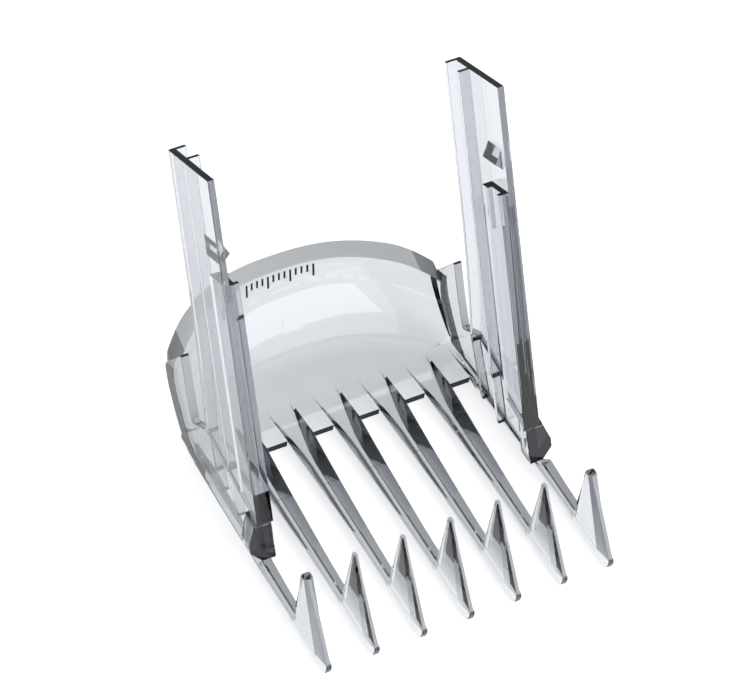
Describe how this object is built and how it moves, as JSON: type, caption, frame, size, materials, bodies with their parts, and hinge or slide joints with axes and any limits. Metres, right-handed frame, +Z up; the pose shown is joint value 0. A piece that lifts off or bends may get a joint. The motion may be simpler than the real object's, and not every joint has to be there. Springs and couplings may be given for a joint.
{
  "type": "clipper guard comb",
  "caption": "Clear moulded hair clipper comb: keeled teeth with upright fins, a curved scoop behind them, and two ribbed clip arms that spring on to the clipper head.",
  "frame": {"origin": "middle of the footprint, on the surface that the tooth keels stand on", "axes": "+X to the comb's right arm as seen from the teeth, -Y the way the teeth point, +Z up"},
  "size_m": [0.048, 0.0622, 0.0562],
  "materials": {
    "scoop_plastic": "clear, faintly grey polycarbonate, polished",
    "tooth_plastic": "clear, faintly grey polycarbonate, polished",
    "arm_plastic": "clear, faintly grey polycarbonate, polished"
  },
  "bodies": {
    "comb_body": {"scoop_shell": "scoop_plastic", "floor_plate": "scoop_plastic", "left_side_wall": "scoop_plastic", "right_side_wall": "scoop_plastic", "left_foot": "tooth_plastic", "right_foot": "tooth_plastic", "tooth_1": "tooth_plastic", "tooth_2": "tooth_plastic", "tooth_3": "tooth_plastic", "tooth_4": "tooth_plastic", "tooth_5": "tooth_plastic", "tooth_6": "tooth_plastic", "tooth_7": "tooth_plastic", "tooth_tip_1": "tooth_plastic", "tooth_tip_2": "tooth_plastic", "tooth_tip_3": "tooth_plastic", "tooth_tip_4": "tooth_plastic", "tooth_tip_5": "tooth_plastic", "tooth_tip_6": "tooth_plastic", "tooth_tip_7": "tooth_plastic"},
    "left_arm": {"left_arm_plate": "arm_plastic", "left_rear_rail": "arm_plastic", "left_middle_rail": "arm_plastic", "left_front_rail": "arm_plastic", "left_detent_lug": "arm_plastic"},
    "right_arm": {"right_arm_plate": "arm_plastic", "right_rear_rail": "arm_plastic", "right_middle_rail": "arm_plastic", "right_front_rail": "arm_plastic", "right_detent_lug": "arm_plastic"}
  },
  "joints": [
    {"name": "left_arm_flex", "type": "hinge", "parent": "comb_body", "child": "left_arm", "pos_m": [-0.0219, -0.00899, 0.00753], "axis": [0, -0.9869, -0.1612], "range_deg": [-1, 3], "stiffness_Nm_per_rad": 2},
    {"name": "right_arm_flex", "type": "hinge", "parent": "comb_body", "child": "right_arm", "pos_m": [0.0219, -0.00899, 0.00753], "axis": [0, 0.9869, 0.1612], "range_deg": [-1, 3], "stiffness_Nm_per_rad": 2}
  ]
}
